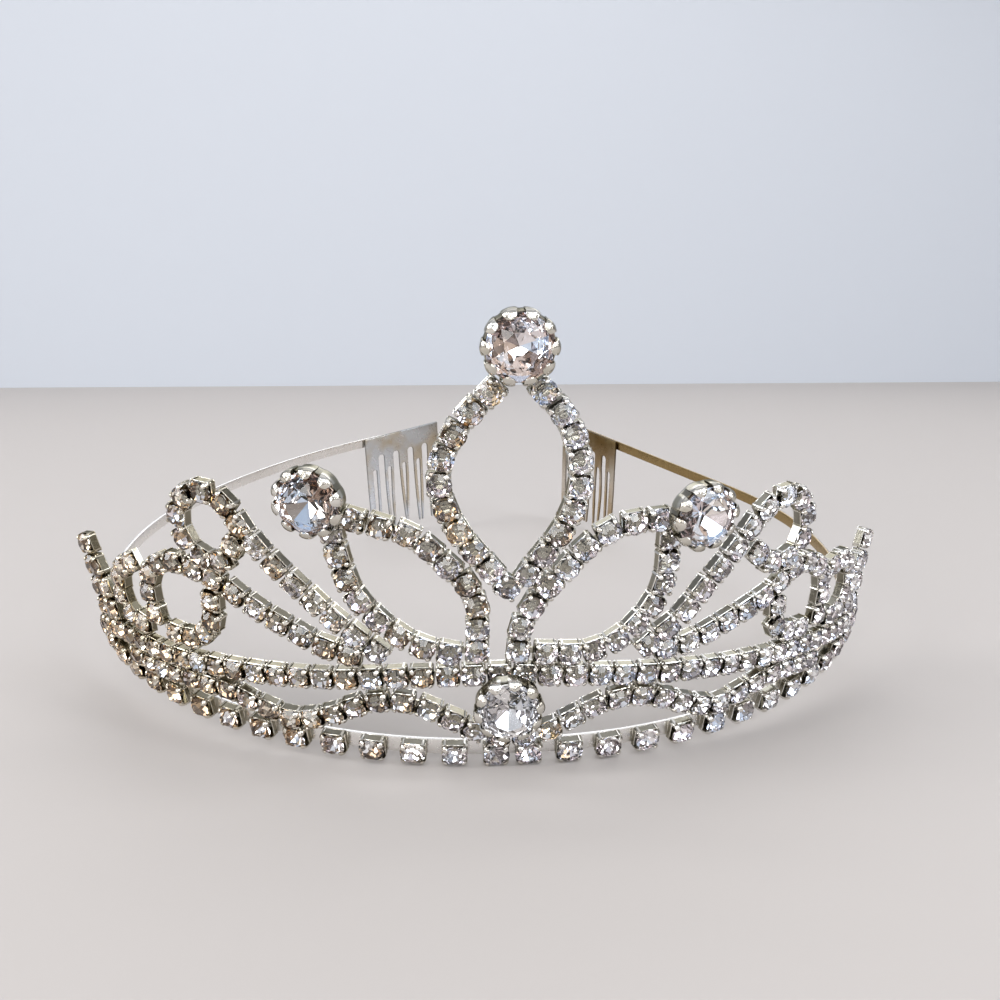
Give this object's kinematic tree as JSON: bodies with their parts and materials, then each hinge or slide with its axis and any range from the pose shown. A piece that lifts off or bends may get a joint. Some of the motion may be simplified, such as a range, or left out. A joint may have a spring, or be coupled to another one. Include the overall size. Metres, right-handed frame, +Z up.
{
  "type": "rhinestone tiara",
  "caption": "Silver-coloured rhinestone tiara of soldered cup chains on a sprung strip headband with a hair comb inside each end.",
  "frame": {"origin": "middle of the box in plan, on the table that the tiara stands on", "axes": "+Z up, -Y towards the front of the tiara with its stones, +X to the right as the front is looked at"},
  "size_m": [0.1488, 0.1859, 0.0657],
  "materials": {
    "headband_metal": "polished silver plate, tarnished brassy towards the ends",
    "comb_metal": "polished plate, tarnished",
    "chain_metal": "polished silver plate",
    "rhinestone": "foiled cut glass"
  },
  "bodies": {
    "root": {"headband": "headband_metal", "left_comb": "comb_metal", "right_comb": "comb_metal", "main_row": "chain_metal", "lower_garland": "chain_metal", "centre_loop": "chain_metal", "left_scroll": "chain_metal", "right_scroll": "chain_metal", "left_wing": "chain_metal", "right_wing": "chain_metal", "top_setting": "chain_metal", "left_setting": "chain_metal", "right_setting": "chain_metal", "bottom_setting": "chain_metal", "top_stone": "rhinestone", "left_stone": "rhinestone", "right_stone": "rhinestone", "bottom_stone": "rhinestone"}
  },
  "joints": []
}
